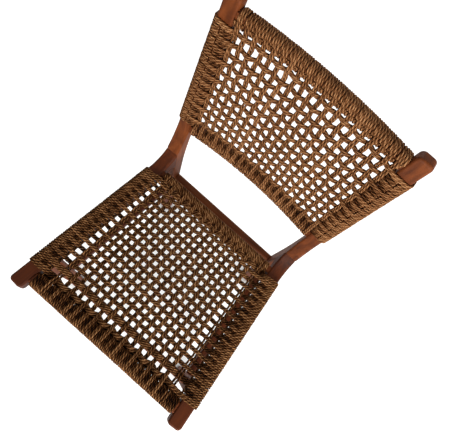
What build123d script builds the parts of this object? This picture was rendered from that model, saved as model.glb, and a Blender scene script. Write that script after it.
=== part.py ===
from build123d import *
import math
import os

# A side chair with a hardwood frame whose seat and reclined back are woven of twisted rope.
# Millimetres, +Z up. The sitter faces -Y. Every piece is laid out with Y = 0 at the front face
# of the rear posts and Z = 0 at the floor, and the whole is centred in X and Y at the end.

# ---- rope ------------------------------------------------------------------------------
ROPE = 4.8                # diameter of the twisted rope
ROPE_SEAT = 0.2           # gap between a wrapped rail and the rope round it
ROPE_LIE = 0.1            # gap between neighbouring ropes
WRAP_END = 5.5            # bare rail between its wrap and the post it runs into

# ---- seat ------------------------------------------------------------------------------
SEAT_REAR_TOP = 441.9     # height of the side rails' top at the rear end of their wraps
SEAT_SLOPE = 3.2          # degrees the seat rises towards the front
SEAT_DEPTH = 449.0        # posts' front faces to the tips of the side rails, along the rails
FRONT_HALF_WIDTH = 240.8
REAR_HALF_WIDTH = 206.5   # outer faces of the side rails and of the posts where they meet
RAIL_WIDTH = 33.5         # side rails, across
RAIL_HEIGHT = 35.0
RAIL_ROUND = 5.0          # rounding of the rails' long edges
HIDDEN_EASE = 3.0         # bevel of the rails that ropes cover all over
NOSE_ROUND = 9.0          # rounding of the side rails' free front ends
NOSE_LENGTH = 50.0        # bare side rail in front of its wrap
REAR_BARE = 59.0          # bare, swept-up rear end of each side rail
CREASE_RISE = 34.1        # the swept-up end meets the post this far above SEAT_REAR_TOP
FRONT_RAIL_SETBACK = 20.5     # tips of the side rails to the front rail
FRONT_RAIL_WIDTH = 25.5
FRONT_RAIL_HEIGHT = 33.0
REAR_RAIL_WIDTH = 17.4
REAR_RAIL_HEIGHT = 28.0
REAR_RAIL_GAP = 38.0      # posts' front faces to the rear rail

# ---- legs and posts --------------------------------------------------------------------
LEG_WIDTH = 28.0
LEG_DEPTH = 38.0
LEG_FOOT_WIDTH = 24.0
LEG_FOOT_DEPTH = 30.0
LEG_SETBACK = 61.0        # tips of the side rails to the front legs
LEG_ROUND = 5.0
POST_WIDTH = 32.0
POST_FOOT_DEPTH = 31.0
POST_HEEL_DEPTH = 36.0    # where the post starts to lean back
POST_HEEL_HEIGHT = 400.0
STILE_DEPTH = 24.0        # upper part of the post
POST_ROUND = 5.0
TIP_ROUND = 9.0

# ---- back ------------------------------------------------------------------------------
RECLINE = 12.0            # degrees
BACK_FOOT_Y = 33.6        # front faces of the posts where the wraps of the back start
BACK_FOOT_Z = 574.8
STILE_LENGTH = 319.0      # from there to the tips of the posts
STILE_WRAP_START = 4.0     # up the stiles
STILE_WRAP_END = 270.5
BACK_BOW = 15.0           # how far the back rails curve away behind the sitter
BACK_RAIL_DEPTH = 21.0
TOP_RAIL_RISE = 277.0    # up the stiles
TOP_RAIL_HEIGHT = 22.0
LOW_RAIL_RISE = -18.4
LOW_RAIL_HEIGHT = 21.0

# ---- stretchers ------------------------------------------------------------------------
STRETCHER_DEPTH = 20.0
STRETCHER_HEIGHT = 28.0
CROSS_STRETCHER_TOP = 305.0
SIDE_STRETCHER_TOP = 222.0
REAR_STRETCHER_SETBACK = 9.0      # posts' front faces to the rear stretcher
SIDE_STRETCHER_INSET = 14.5       # legs' outer faces to the middle of a side stretcher
STRETCHER_ROUND = 6.0

# ---- tenons ----------------------------------------------------------------------------
TENON_LENGTH = 14.0
TENON_SHOULDER = 4.0      # how much thinner than its rail a tenon is, on each side
TENON_FIT = 0.15

# ---- weave -----------------------------------------------------------------------------
WEAVE_GAP = 0.3           # gap where two rows of rope cross
WARP_CROWN = 1.5          # half the flat top of a warp pair, from which its sides fall away
SEAT_FIELD_DROP = 6.0     # top of the wraps to the middle of the seat's weave
SEAT_WARP_PAIRS = 16          # between the outermost pair of each side
SIDE_WARP_REAR_GAP = 24.0     # side rail to the middle of the outermost pair
SIDE_WARP_FRONT_GAP = 34.6
SIDE_WARP_SPACING = 23.9      # outermost pair to the next one
SEAT_WEFT_PITCH = 18.64
SEAT_WEFT_PAIRS = 15
SEAT_WEFT_MARGIN = 20.5    # rear wrap to the middle of the first pair of wefts
SEAT_BUNDLE_ROPES = 3     # ropes in the thick rows beside the rear and the front wrap
SEAT_REAR_BUNDLE = 7.6    # rear wrap to the middle of its thick row
SEAT_FRONT_BUNDLES = (33.5, 9.5)    # front wrap to the middles of its thick rows
BACK_FIELD_DROP = 7.0     # front of the wraps to the middle of the back's weave
BACK_WARP_PAIRS = 18
BACK_WARP_GAP = 26.2      # posts' inner faces to the middle of the outermost pair
BACK_WEFT_PITCH = 21.27
BACK_WEFT_PAIRS = 12
BACK_WEFT_MARGIN = 29.1    # up the stiles to the middle of the lowest pair of wefts

# ---- worked out from the sizes above ---------------------------------------------------------
WRAP = ROPE_SEAT + ROPE                  # how far a wrap stands off its rail
PAIR = 2 * ROPE + ROPE_LIE               # width of two ropes lying side by side
ROW_THICK = math.pi / 4 * ROPE           # flat row with the same volume as its round ropes
CREASE_HEIGHT = SEAT_REAR_TOP + CREASE_RISE
RAIL_ANGLE = math.degrees(math.asin((FRONT_HALF_WIDTH - REAR_HALF_WIDTH) / SEAT_DEPTH))
SLOPE = math.radians(SEAT_SLOPE)
LEAN = math.radians(RECLINE)
LEAN_UP = (math.sin(LEAN), math.cos(LEAN))         # Y and Z up the stiles
LEAN_BACK = (math.cos(LEAN), -math.sin(LEAN))      # Y and Z from a stile's front to its back
INNER_HALF_WIDTH = REAR_HALF_WIDTH - POST_WIDTH    # inner faces of the posts
BOW_RADIUS = (INNER_HALF_WIDTH ** 2 + BACK_BOW ** 2) / (2 * BACK_BOW)

# SEAT lies on the rails' top with its Y towards the back; RAIL is the same, turned along the
# left side rail with X = 0 on its outer face and Y = 0 at the post; SIDE is RAIL made level at
# the floor; BACK stands on the start of the stiles' wraps with its Z up the stiles.
SEAT = Plane(origin=(0, -REAR_BARE, SEAT_REAR_TOP), x_dir=(1, 0, 0),
             z_dir=(0, math.sin(SLOPE), math.cos(SLOPE))).location
RAIL = SEAT * Pos(REAR_HALF_WIDTH, REAR_BARE, 0) * Rot(0, 0, RAIL_ANGLE)
SIDE = Pos(REAR_HALF_WIDTH, 0, 0) * Rot(0, 0, RAIL_ANGLE)
BACK = Plane(origin=(0, BACK_FOOT_Y, BACK_FOOT_Z), x_dir=(1, 0, 0),
             z_dir=(0, math.sin(LEAN), math.cos(LEAN))).location

LEG_FRONT = LEG_SETBACK - SEAT_DEPTH     # front face of the front leg along Y in SIDE

# Where the front and rear rails lie along Y in SEAT.
FRONT_RAIL_FRONT = REAR_BARE - SEAT_DEPTH + FRONT_RAIL_SETBACK
FRONT_RAIL_BACK = FRONT_RAIL_FRONT + FRONT_RAIL_WIDTH
REAR_RAIL_BACK = REAR_BARE - REAR_RAIL_GAP
REAR_RAIL_FRONT = REAR_RAIL_BACK - REAR_RAIL_WIDTH
FIELD_FRONT = FRONT_RAIL_BACK + WRAP     # the open weave of the seat runs between these
FIELD_REAR = REAR_RAIL_FRONT - WRAP


def rail_inner(y):
    """X of the left side rail's inner face where it crosses Y in SEAT."""
    angle = math.radians(RAIL_ANGLE)
    return REAR_HALF_WIDTH - RAIL_WIDTH / math.cos(angle) + math.tan(angle) * (REAR_BARE - y)


# X of the seat's outermost warp pair at its two ends, and how far apart the back's pairs lie.
SIDE_WARP_REAR = rail_inner(FIELD_REAR) - SIDE_WARP_REAR_GAP
SIDE_WARP_FRONT = rail_inner(FIELD_FRONT) - SIDE_WARP_FRONT_GAP
BACK_WARP_PITCH = 2 * (INNER_HALF_WIDTH - BACK_WARP_GAP) / (BACK_WARP_PAIRS - 1)


# ---- shared shapes -------------------------------------------------------------------------
def box(low, high):
    """A box between two corners."""
    size = [b - a for a, b in zip(low, high)]
    return Pos(*[(a + b) / 2 for a, b in zip(low, high)]) * Box(*size)


def grown(low, high, amounts):
    """The two corners of a box, moved apart by an amount along each axis."""
    return ([a - g for a, g in zip(low, amounts)], [b + g for b, g in zip(high, amounts)])


def bar(low, high, axis, radius):
    """A box whose edges along one axis are rounded."""
    block = box(low, high)
    return fillet(block.edges().filter_by(axis), radius)


def bevel(stand_off):
    """Bevel of a surface that keeps the same distance from a covered rail all round."""
    return HIDDEN_EASE + (2 - math.sqrt(2)) * stand_off


def eased_bar(low, high, axis, stand_off=0.0):
    """A box whose edges along one axis are bevelled: a rail that ropes cover, or its ropes."""
    block = box(low, high)
    return chamfer(block.edges().filter_by(axis), bevel(stand_off))


def sleeve(low, high, axis, end_gap):
    """The closed tube of rope round a bar, stopping short of both its ends."""
    free = {Axis.X: 0, Axis.Y: 1, Axis.Z: 2}[axis]
    outer = [-end_gap if i == free else WRAP for i in range(3)]
    inner = [1.0 if i == free else ROPE_SEAT for i in range(3)]
    tube = eased_bar(*grown(low, high, outer), axis, WRAP)
    return tube - eased_bar(*grown(low, high, inner), axis, ROPE_SEAT)


def largest(shape):
    """The main solid left when a piece is cut to fit between its neighbours."""
    return max(shape.solids(), key=lambda solid: solid.volume)


def mirrored(shape):
    """The same piece on the other side of the chair."""
    return mirror(shape, about=Plane.YZ)


def outline_edges(part, cross_axis):
    """The edges that run round a flat-sided piece, without those straight across it."""
    return part.edges().filter_by(cross_axis, reverse=True)


# ---- posts, side rails and front legs ------------------------------------------------------
def plain_post():
    """Left post with sharp edges: plumb leg, heel that leans back, straight reclined stile."""
    foot = (BACK_FOOT_Y, BACK_FOOT_Z)
    tip = tuple(a + STILE_LENGTH * u for a, u in zip(foot, LEAN_UP))
    foot_back = tuple(a + STILE_DEPTH * b for a, b in zip(foot, LEAN_BACK))
    tip_back = tuple(a + STILE_DEPTH * b for a, b in zip(tip, LEAN_BACK))
    crease = (0, CREASE_HEIGHT)
    heel = (POST_HEEL_DEPTH, POST_HEEL_HEIGHT)
    down = (-LEAN_UP[0], -LEAN_UP[1])
    outline = Curve() + [
        Polyline((POST_FOOT_DEPTH, 0), (0, 0), crease),
        TangentArc(foot, crease, tangent=down),
        Polyline(foot, tip, tip_back, foot_back),
        TangentArc(foot_back, heel, tangent=down),
        Line(heel, (POST_FOOT_DEPTH, 0)),
    ]
    return Pos(INNER_HALF_WIDTH, 0, 0) * extrude(Plane.YZ * make_face(outline), POST_WIDTH)


def rounded_post(post):
    """The post with a rounded tip and its outline's edges rounded, but for the foot."""
    top = post.faces().sort_by(Axis.Z)[-1]
    corners = [edge for edge in top.edges() if abs(edge.tangent_at(0.5).X) < 0.5]
    post = fillet(corners, TIP_ROUND)
    rim = [edge for edge in outline_edges(post, Axis.X) if edge.center().Z > 1]
    return fillet(rim, POST_ROUND)


def side_rail_blank():
    """Left side rail in RAIL, with its rounded nose and swept-up rear end, run into the post."""
    rise = CREASE_RISE * math.cos(SLOPE) + REAR_BARE * math.sin(SLOPE)
    steepest = 2 * math.atan2(rise, REAR_BARE)
    run_in = 0.4 * POST_HEEL_DEPTH
    end = (run_in * math.cos(steepest), rise + run_in * math.sin(steepest))
    outline = Curve() + [
        Polyline(end, (end[0], -RAIL_HEIGHT), (-SEAT_DEPTH, -RAIL_HEIGHT), (-SEAT_DEPTH, 0),
                 (-REAR_BARE, 0)),
        TangentArc((-REAR_BARE, 0), (0, rise), tangent=(1, 0)),
        Line((0, rise), end),
    ]
    rail = extrude(Plane.YZ * make_face(outline), -RAIL_WIDTH)
    nose = rail.edges().filter_by(Axis.Z).sort_by(Axis.Y)[:2]
    rail = fillet(nose, NOSE_ROUND)
    rim = [edge for edge in outline_edges(rail, Axis.Z)
           if abs(edge.tangent_at(0.5).X) < 0.9 or edge.center().Y < 1 - SEAT_DEPTH]
    return fillet(rim, RAIL_ROUND)


def side_rail():
    """The left side rail with its rear end cut flat to the front face of the post."""
    post_side = box((0, 0, 0), (2 * REAR_HALF_WIDTH, SEAT_DEPTH, 2 * CREASE_HEIGHT))
    return largest(RAIL * side_rail_blank() - post_side)


def side_rail_block(spread=0.0):
    """The straight part of the left side rail as a sharp block, to cut its neighbours by."""
    return RAIL * box((-RAIL_WIDTH - spread, -SEAT_DEPTH, -RAIL_HEIGHT), (spread, 0, 0))


def plain_leg():
    """Left front leg with sharp edges, tapering to the foot on its inner and rear faces."""
    top = SEAT_REAR_TOP
    face_on = Polyline((0, 0), (0, top), (-LEG_WIDTH, top), (-LEG_FOOT_WIDTH, 0), close=True)
    side_on = Polyline((0, 0), (0, top), (LEG_DEPTH, top), (LEG_FOOT_DEPTH, 0), close=True)
    leg = extrude(Plane.XZ * make_face(face_on), -LEG_DEPTH)
    leg &= extrude(Plane.YZ * make_face(side_on), -LEG_WIDTH)
    return SIDE * Pos(0, LEG_FRONT, 0) * leg - side_rail_block(LEG_WIDTH)


def rounded_leg(leg):
    """The leg with its four long edges rounded."""
    return fillet([edge for edge in leg.edges() if abs(edge.tangent_at(0.5).Z) > 0.9], LEG_ROUND)


# ---- the members between them --------------------------------------------------------------
# Each is given as its frame, its low and high corners and the axis along its length. Its length
# runs into both neighbours by the tenons.
def seat_front_bar():
    reach = rail_inner(FRONT_RAIL_FRONT) + TENON_LENGTH
    low = (-reach, FRONT_RAIL_FRONT, -FRONT_RAIL_HEIGHT)
    return SEAT, low, (reach, FRONT_RAIL_BACK, 0), Axis.X


def seat_rear_bar():
    reach = rail_inner(REAR_RAIL_FRONT) + TENON_LENGTH
    low = (-reach, REAR_RAIL_FRONT, -REAR_RAIL_HEIGHT)
    return SEAT, low, (reach, REAR_RAIL_BACK, 0), Axis.X


def front_stretcher_bar():
    middle = (SIDE * Pos(-LEG_WIDTH, LEG_FRONT + LEG_DEPTH / 2, 0)).position
    reach = middle.X + TENON_LENGTH
    low = (-reach, middle.Y - STRETCHER_DEPTH / 2, CROSS_STRETCHER_TOP - STRETCHER_HEIGHT)
    return Pos(0, 0, 0), low, (reach, low[1] + STRETCHER_DEPTH, CROSS_STRETCHER_TOP), Axis.X


def rear_stretcher_bar():
    reach = INNER_HALF_WIDTH + TENON_LENGTH
    low = (-reach, REAR_STRETCHER_SETBACK, CROSS_STRETCHER_TOP - STRETCHER_HEIGHT)
    return Pos(0, 0, 0), low, (reach, low[1] + STRETCHER_DEPTH, CROSS_STRETCHER_TOP), Axis.X


def side_stretcher_bar():
    inner = -SIDE_STRETCHER_INSET - STRETCHER_DEPTH / 2
    low = (inner, LEG_FRONT + LEG_DEPTH - TENON_LENGTH, SIDE_STRETCHER_TOP - STRETCHER_HEIGHT)
    return SIDE, low, (inner + STRETCHER_DEPTH, TENON_LENGTH, SIDE_STRETCHER_TOP), Axis.Y


def through_tenon(frame, low, high, axis, fit):
    """The slimmer bar inside a member, whose ends are its tenons; with a fit, its mortises."""
    free = {Axis.X: 0, Axis.Y: 1}[axis]
    amounts = [fit if i == free else fit - TENON_SHOULDER for i in range(3)]
    return frame * box(*grown(low, high, amounts))


def member(bar_shape, tenon, left, right):
    """A member with its shoulders cut to the faces of both neighbours."""
    return largest(bar_shape - left - right) + tenon


def side_rail_tenon(fit):
    low = (TENON_SHOULDER - RAIL_WIDTH, -TENON_SHOULDER, TENON_SHOULDER - RAIL_HEIGHT)
    return RAIL * box(*grown(low, (-TENON_SHOULDER, TENON_LENGTH, -TENON_SHOULDER), [fit] * 3))


def front_leg_tenon(fit):
    low = (TENON_SHOULDER - LEG_WIDTH, LEG_FRONT + TENON_SHOULDER, -RAIL_HEIGHT - TENON_SHOULDER)
    high = (-TENON_SHOULDER, LEG_FRONT + LEG_DEPTH - TENON_SHOULDER, TENON_LENGTH - RAIL_HEIGHT)
    return RAIL * box(*grown(low, high, [fit] * 3))


def bowed_bar(start, height, stand_off, half_length):
    """A sharp-edged bar of the back, bowed in plan, standing off the bare rail by an amount."""
    tall = height + 2 * stand_off
    ring = Cylinder(BOW_RADIUS + BACK_RAIL_DEPTH + stand_off, tall)
    ring -= Cylinder(BOW_RADIUS - stand_off, tall)
    ring = Pos(0, BACK_BOW - BOW_RADIUS, start + height / 2) * ring
    reach = BACK_BOW + BACK_RAIL_DEPTH + stand_off + 1
    window = box((-half_length, -reach, start - height), (half_length, reach, start + 2 * height))
    return BACK * (ring & window)


def bowed_rail(start, height):
    """A bowed rail whose shoulders meet the posts, with a tenon in each."""
    tenon = bowed_rail_tenon(start, height, 0)
    return bowed_bar(start, height, 0, INNER_HALF_WIDTH) + tenon + mirrored(tenon)


def bowed_rail_tenon(start, height, fit):
    low = (INNER_HALF_WIDTH - TENON_SHOULDER, TENON_SHOULDER, start + TENON_SHOULDER)
    high = (INNER_HALF_WIDTH + TENON_LENGTH, BACK_RAIL_DEPTH - TENON_SHOULDER,
            start + height - TENON_SHOULDER)
    return BACK * box(*grown(low, high, [fit] * 3))


# ---- ropes wrapped round the rails ---------------------------------------------------------
def seat_side_wrap():
    """Round the left side rail, with room for the front leg below it."""
    wrap = RAIL * sleeve((-RAIL_WIDTH, NOSE_LENGTH - SEAT_DEPTH, -RAIL_HEIGHT),
                         (0, -REAR_BARE, 0), Axis.Y, 0)
    room = box((-LEG_WIDTH, LEG_FRONT, 0), (0, LEG_FRONT + LEG_DEPTH, SEAT_REAR_TOP))
    return wrap - SIDE * Pos(-ROPE_SEAT, 0, 0) * room - SIDE * Pos(ROPE_SEAT, 0, 0) * room


def seat_cross_wrap(frame, low, high, axis, inner):
    """Round the front or rear rail of the seat, between the side rails' inner faces."""
    return frame * sleeve((-inner, *low[1:]), (inner, *high[1:]), axis, WRAP_END)


def stile_wrap():
    """Round the left stile."""
    return BACK * sleeve((INNER_HALF_WIDTH, 0, STILE_WRAP_START),
                         (REAR_HALF_WIDTH, STILE_DEPTH, STILE_WRAP_END), Axis.Z, 0)


def bowed_wrap(start, height):
    """Round a bowed rail of the back."""
    half_length = INNER_HALF_WIDTH - WRAP_END
    tube = bowed_bar(start, height, WRAP, half_length)
    tube = chamfer(tube.edges().filter_by(GeomType.CIRCLE), bevel(WRAP))
    return tube - bowed_bar(start, height, ROPE_SEAT, half_length + 1)


# ---- rope weave --------------------------------------------------------------------------------
# Each row of ropes is one flat ribbon with the ropes' volume. The warps are straight with sides
# that fall away, and each weft passes over one warp and under the next in a zigzag.
def row_width(ropes):
    """Width of ropes lying side by side."""
    return ropes * (ROPE + ROPE_LIE) - ROPE_LIE


def warp_section():
    """The flattened section of a pair of warp ropes, in X and Z."""
    side, top = PAIR / 2, ROW_THICK / 2
    points = [(-side, 0), (-WARP_CROWN, top), (WARP_CROWN, top),
              (side, 0), (WARP_CROWN, -top), (-WARP_CROWN, -top)]
    return make_face(Polyline(*points, close=True))


def warp_places(pitch, pairs):
    """The middles of evenly spaced warp pairs, centred on the chair."""
    return [(index - (pairs - 1) / 2) * pitch for index in range(pairs)]


def weft(path, ropes, plane):
    """A row of weft ropes along a path drawn in a plane."""
    upper = [(x, level + ROW_THICK / 2) for x, level in path]
    lower = [(x, level - ROW_THICK / 2) for x, level in reversed(path)]
    face = plane * make_face(Polyline(*upper, *lower, close=True))
    return extrude(face, row_width(ropes) / 2, both=True)


def zigzag(places, pitch, side):
    """The (x, height) of a weft where it passes each warp, first on one side, then the other.

    The height clears the flat top of a warp on the slope down to the next.
    """
    height = (ROW_THICK + WEAVE_GAP) / (1 - 2 * WARP_CROWN / pitch)
    return [(x, side * (-1) ** index * height) for index, x in enumerate(places)]


def seat_warp_places(y):
    """The middles of the seat's warp pairs at Y in SEAT, which fan out with the side rails."""
    share = (FIELD_REAR - y) / (FIELD_REAR - FIELD_FRONT)
    side = SIDE_WARP_REAR + share * (SIDE_WARP_FRONT - SIDE_WARP_REAR)
    pitch = 2 * (side - SIDE_WARP_SPACING) / (SEAT_WARP_PAIRS - 1)
    return [-side, *warp_places(pitch, SEAT_WARP_PAIRS), side]


def seat_warp():
    """The pairs of ropes that run from the front rail's wrap to the rear rail's."""
    strands = []
    for front, rear in zip(seat_warp_places(FIELD_FRONT), seat_warp_places(FIELD_REAR)):
        start = Plane(origin=(front, FIELD_FRONT, 0), x_dir=(1, 0, 0), z_dir=(0, 1, 0))
        finish = Plane(origin=(rear, FIELD_REAR, 0), x_dir=(1, 0, 0), z_dir=(0, 1, 0))
        strand = loft([start * warp_section(), finish * warp_section()], ruled=True)
        strands.append(SEAT * Pos(0, 0, -SEAT_FIELD_DROP) * strand)
    return strands


def seat_weft():
    """The rows that run from side rail to side rail, over one warp and under the next."""
    rows = [(FIELD_REAR - SEAT_REAR_BUNDLE, SEAT_BUNDLE_ROPES)]
    rows += [(FIELD_REAR - SEAT_WEFT_MARGIN - index * SEAT_WEFT_PITCH, 2)
             for index in range(SEAT_WEFT_PAIRS)]
    rows += [(FIELD_FRONT + bundle, SEAT_BUNDLE_ROPES) for bundle in SEAT_FRONT_BUNDLES]
    solids = []
    for index, (y, ropes) in enumerate(rows):
        reach = rail_inner(y + row_width(ropes) / 2) - WRAP / math.cos(math.radians(RAIL_ANGLE))
        places = seat_warp_places(y)
        passes = zigzag(places, places[2] - places[1], (-1) ** index)
        path = [(ROPE_LIE - reach, 0), *passes, (reach - ROPE_LIE, 0)]
        solids.append(SEAT * Pos(0, y, -SEAT_FIELD_DROP) * weft(path, ropes, Plane.XZ))
    return solids


def back_middle(x):
    """How far behind the stiles' fronts the middle of the back's weave lies at x."""
    bow = math.sqrt(BOW_RADIUS ** 2 - x ** 2) - (BOW_RADIUS - BACK_BOW)
    return BACK_FIELD_DROP - WRAP + bow


def back_warp():
    """The pairs of ropes that run up from the low rail's wrap to the top rail's."""
    low = LOW_RAIL_RISE + LOW_RAIL_HEIGHT + WRAP
    high = TOP_RAIL_RISE - WRAP
    strands = []
    for x in warp_places(BACK_WARP_PITCH, BACK_WARP_PAIRS):
        turned = Rot(0, 0, -math.degrees(math.asin(x / BOW_RADIUS)))
        strand = extrude(Plane.XY * warp_section(), high - low)
        strands.append(BACK * Pos(x, back_middle(x), low) * turned * strand)
    return strands


def back_weft():
    """The rows that run from stile to stile, bowed with the back rails."""
    places = warp_places(BACK_WARP_PITCH, BACK_WARP_PAIRS)
    reach = INNER_HALF_WIDTH - WRAP - ROPE_LIE
    solids = []
    for index in range(BACK_WEFT_PAIRS):
        passes = zigzag(places, BACK_WARP_PITCH, (-1) ** index)
        path = [(x, back_middle(x) + height) for x, height in [(-reach, 0), *passes, (reach, 0)]]
        place = Pos(0, 0, BACK_WEFT_MARGIN + index * BACK_WEFT_PITCH)
        solids.append(BACK * place * weft(path, 2, Plane.XY))
    return solids


# ---- the whole chair -----------------------------------------------------------------------------
def sided_pieces():
    """The left piece of each pair."""
    post = plain_post()
    leg = plain_leg()
    low_rail = (LOW_RAIL_RISE, LOW_RAIL_HEIGHT)
    top_rail = (TOP_RAIL_RISE, TOP_RAIL_HEIGHT)
    side_bar = side_stretcher_bar()
    rail_holes = [front_leg_tenon(TENON_FIT), through_tenon(*seat_front_bar(), TENON_FIT),
                  through_tenon(*seat_rear_bar(), TENON_FIT)]
    leg_holes = [through_tenon(*front_stretcher_bar(), TENON_FIT),
                 through_tenon(*side_bar, TENON_FIT)]
    post_holes = [side_rail_tenon(TENON_FIT), through_tenon(*rear_stretcher_bar(), TENON_FIT),
                  through_tenon(*side_bar, TENON_FIT), bowed_rail_tenon(*low_rail, TENON_FIT),
                  bowed_rail_tenon(*top_rail, TENON_FIT)]
    return {
        "rear_post": rounded_post(post) - post_holes,
        "side_rail": side_rail() + side_rail_tenon(0) - rail_holes,
        "front_leg": rounded_leg(leg) + front_leg_tenon(0) - leg_holes,
        "side_stretcher": member(side_bar[0] * bar(*side_bar[1:], STRETCHER_ROUND),
                                 through_tenon(*side_bar, 0), leg, post),
        "seat_side_wrap": seat_side_wrap(),
        "back_side_wrap": stile_wrap(),
    }


def middle_pieces():
    """The pieces that cross the chair from side to side."""
    block, leg, post = side_rail_block(), plain_leg(), plain_post()
    pieces = {}
    for name, rail in (("seat_front", seat_front_bar()), ("seat_rear", seat_rear_bar())):
        pieces[f"{name}_rail"] = member(rail[0] * eased_bar(*rail[1:]), through_tenon(*rail, 0),
                                        block, mirrored(block))
        pieces[f"{name}_wrap"] = seat_cross_wrap(*rail, rail_inner(rail[2][1]))
    for name, rail, end in (("front", front_stretcher_bar(), leg),
                            ("rear", rear_stretcher_bar(), post)):
        pieces[f"{name}_stretcher"] = member(rail[0] * bar(*rail[1:], STRETCHER_ROUND),
                                             through_tenon(*rail, 0), end, mirrored(end))
    for name, rail in (("back_low", (LOW_RAIL_RISE, LOW_RAIL_HEIGHT)),
                       ("back_top", (TOP_RAIL_RISE, TOP_RAIL_HEIGHT))):
        pieces[f"{name}_rail"] = bowed_rail(*rail)
        pieces[f"{name}_wrap"] = bowed_wrap(*rail)
    pieces["seat_warp"] = Compound(seat_warp())
    pieces["seat_weft"] = Compound(seat_weft())
    pieces["back_warp"] = Compound(back_warp())
    pieces["back_weft"] = Compound(back_weft())
    return pieces


os.makedirs("parts", exist_ok=True)
left = sided_pieces()
chair = {f"{name}_left": piece for name, piece in left.items()}
chair |= {f"{name}_right": mirrored(piece) for name, piece in left.items()}
chair |= middle_pieces()
whole = Compound([solid for piece in chair.values() for solid in piece.solids()]).bounding_box()
centred = Pos(-whole.center().X, -whole.center().Y, -whole.min.Z)
for name, piece in chair.items():
    export_step(centred * piece, f"parts/{name}.step")
print("size", whole.size, "posts' front faces at Y", -whole.center().Y)
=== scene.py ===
import math

import bpy
import numpy as np
from mathutils import Matrix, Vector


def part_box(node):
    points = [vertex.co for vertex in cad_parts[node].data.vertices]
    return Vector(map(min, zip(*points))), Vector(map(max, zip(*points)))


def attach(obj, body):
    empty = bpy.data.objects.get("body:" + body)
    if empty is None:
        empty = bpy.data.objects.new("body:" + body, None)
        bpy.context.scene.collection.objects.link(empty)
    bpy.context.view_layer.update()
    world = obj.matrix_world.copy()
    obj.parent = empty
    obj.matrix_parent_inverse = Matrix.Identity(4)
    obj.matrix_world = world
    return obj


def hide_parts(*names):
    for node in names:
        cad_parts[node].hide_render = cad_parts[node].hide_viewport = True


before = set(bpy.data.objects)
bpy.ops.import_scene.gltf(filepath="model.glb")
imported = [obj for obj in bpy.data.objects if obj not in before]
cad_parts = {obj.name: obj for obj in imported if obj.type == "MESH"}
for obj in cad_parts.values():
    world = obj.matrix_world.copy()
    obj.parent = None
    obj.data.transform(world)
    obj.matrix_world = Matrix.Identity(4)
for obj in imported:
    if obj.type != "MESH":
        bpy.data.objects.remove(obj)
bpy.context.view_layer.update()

# ---- The camera ---------------------------------------------------------------------------------
# It hangs above the front of the seat and looks down and a little back, turned so that the
# chair runs from the lower left to the upper right.
CAMERA_PLACE = (0.0396, -0.1731, 1.3705)
CAMERA_TILT = math.radians(17.59)       # away from straight down, towards the back
CAMERA_TURN = math.radians(3.72)
CAMERA_ROLL = math.radians(38.27)

across = np.array([math.cos(CAMERA_TURN), math.sin(CAMERA_TURN), 0.0])
ahead = np.array([-math.sin(CAMERA_TURN), math.cos(CAMERA_TURN), 0.0])
up = np.array([0.0, 0.0, 1.0])
look = math.sin(CAMERA_TILT) * ahead - math.cos(CAMERA_TILT) * up
top = math.cos(CAMERA_TILT) * ahead + math.sin(CAMERA_TILT) * up
right = math.cos(CAMERA_ROLL) * across + math.sin(CAMERA_ROLL) * top
above = math.cos(CAMERA_ROLL) * top - math.sin(CAMERA_ROLL) * across

camera = bpy.data.objects.new("camera", bpy.data.cameras.new("camera"))
camera.data.lens = 31.98
camera.data.sensor_width = 36.0
camera.data.clip_end = 50.0
turned = np.eye(4)
turned[:3, 0], turned[:3, 1], turned[:3, 2], turned[:3, 3] = right, above, -look, CAMERA_PLACE
camera.matrix_world = Matrix(turned)
bpy.context.collection.objects.link(camera)
bpy.context.scene.camera = camera
bpy.context.scene.view_settings.view_transform = "Standard"


# ---- The floor, the backdrop and the light ------------------------------------------------------
# A plain white studio: a floor that glows white to the eye, its glow dimmed by ambient occlusion
# under and near the chair as painted shade, and that also takes the chair's real shadow; one broad
# lamp low in front, weaker ones at the side, behind and overhead, and a dim world.
def nodes_of(owner):
    """The owner's empty node tree, and a short way to add and link its nodes."""
    owner.use_nodes = True
    tree = owner.node_tree
    tree.nodes.clear()

    def add(kind, **values):
        node = tree.nodes.new(kind)
        for name, value in values.items():
            setattr(node, name, value)
        return node

    return tree, add, tree.links.new


def seen_white(add, link):
    """1 for the rays that should meet plain white: the eye's own, mirrored and let through."""
    path = add("ShaderNodeLightPath")
    two = add("ShaderNodeMath", operation="ADD")
    three = add("ShaderNodeMath", operation="ADD", use_clamp=True)
    link(path.outputs["Is Camera Ray"], two.inputs[0])
    link(path.outputs["Is Glossy Ray"], two.inputs[1])
    link(two.outputs[0], three.inputs[0])
    link(path.outputs["Is Transmission Ray"], three.inputs[1])
    return three.outputs[0]


floor_mesh = bpy.data.meshes.new("floor")
FLOOR_REACH = 8.0
floor_mesh.from_pydata([(-FLOOR_REACH, -FLOOR_REACH, 0), (FLOOR_REACH, -FLOOR_REACH, 0),
                        (FLOOR_REACH, FLOOR_REACH, 0), (-FLOOR_REACH, FLOOR_REACH, 0)],
                       [], [(0, 1, 2, 3)])
floor = bpy.data.objects.new("floor", floor_mesh)
bpy.context.collection.objects.link(floor)
floor.location.z = -0.0005

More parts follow.
